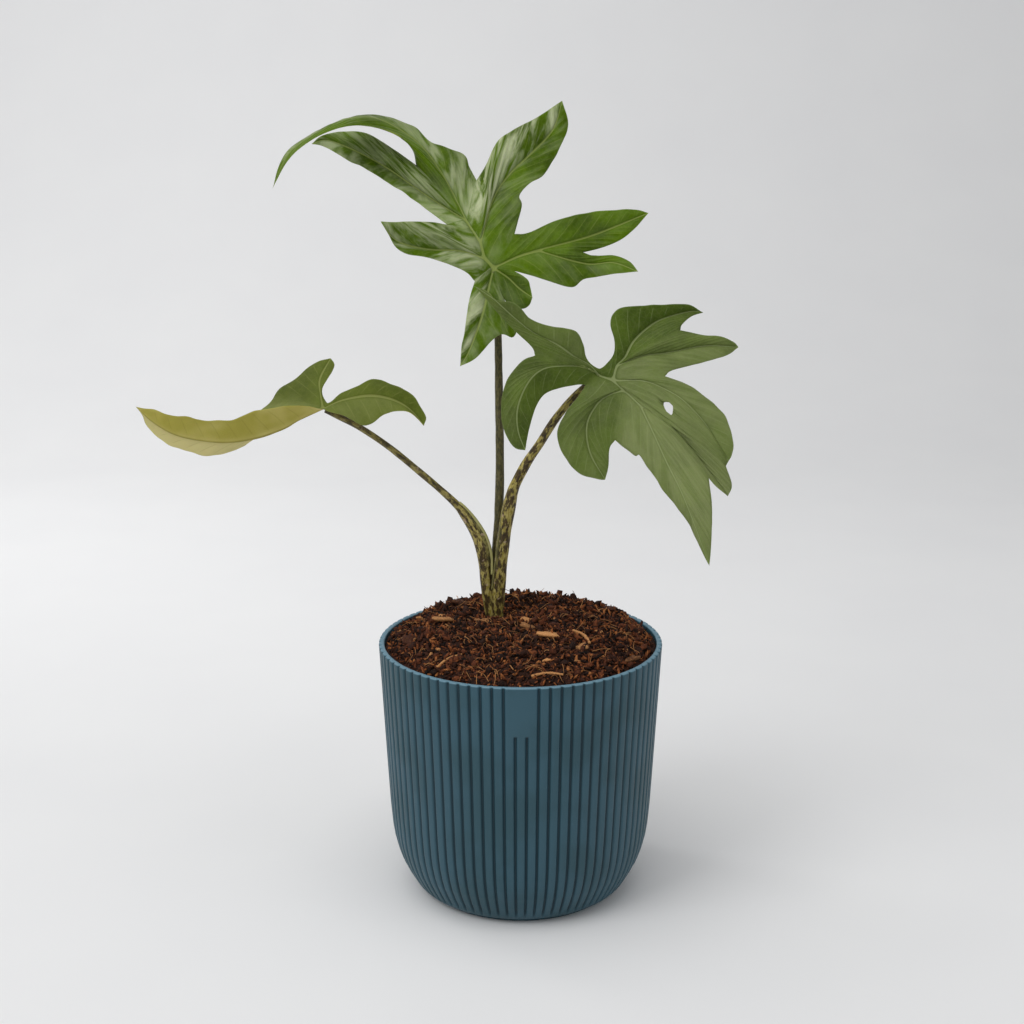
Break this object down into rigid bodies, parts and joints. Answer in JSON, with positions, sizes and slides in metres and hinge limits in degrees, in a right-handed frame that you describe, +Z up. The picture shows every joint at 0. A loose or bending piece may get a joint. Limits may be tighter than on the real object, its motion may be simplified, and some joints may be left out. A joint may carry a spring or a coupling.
{
  "type": "potted aroid plant",
  "caption": "Young aroid houseplant with deeply lobed glossy leaves on slim mottled stalks, growing in bark-rich soil in a ribbed blue-grey plastic pot that stands on a table",
  "frame": {"origin": "middle of the pot's flat base, on the surface it stands on", "axes": "+Z up along the pot's axis; the pot's bare front panel faces -Y; +X is to the right when it is seen from the front"},
  "size_m": [0.285, 0.14, 0.3865],
  "materials": {
    "pot_shell": "satin blue-grey moulded plastic",
    "potting_soil": "loose dark peat, coir and bark mix",
    "rootstock": "matt fleshy root and stem base",
    "leaf_stalk": "smooth skin with brown mottling",
    "leaf_blade": "waxy green leaf with pale veins",
    "bark": "dry broken bark and twigs"
  },
  "bodies": {
    "root": {"pot": "pot_shell", "soil": "potting_soil", "rootstock": "rootstock", "leaf_stalk_left": "leaf_stalk", "leaf_stalk_centre": "leaf_stalk", "leaf_stalk_right": "leaf_stalk", "leaf_blade_left": "leaf_blade", "leaf_blade_top": "leaf_blade", "leaf_blade_right": "leaf_blade", "bark_chip_1": "bark", "bark_chip_2": "bark", "bark_chip_3": "bark", "bark_chip_4": "bark", "bark_chip_5": "bark", "bark_chip_6": "bark", "bark_chip_7": "bark", "bark_chip_8": "bark", "bark_chip_9": "bark", "bark_chip_10": "bark", "twig_1": "bark", "twig_2": "bark", "twig_3": "bark"}
  },
  "joints": []
}
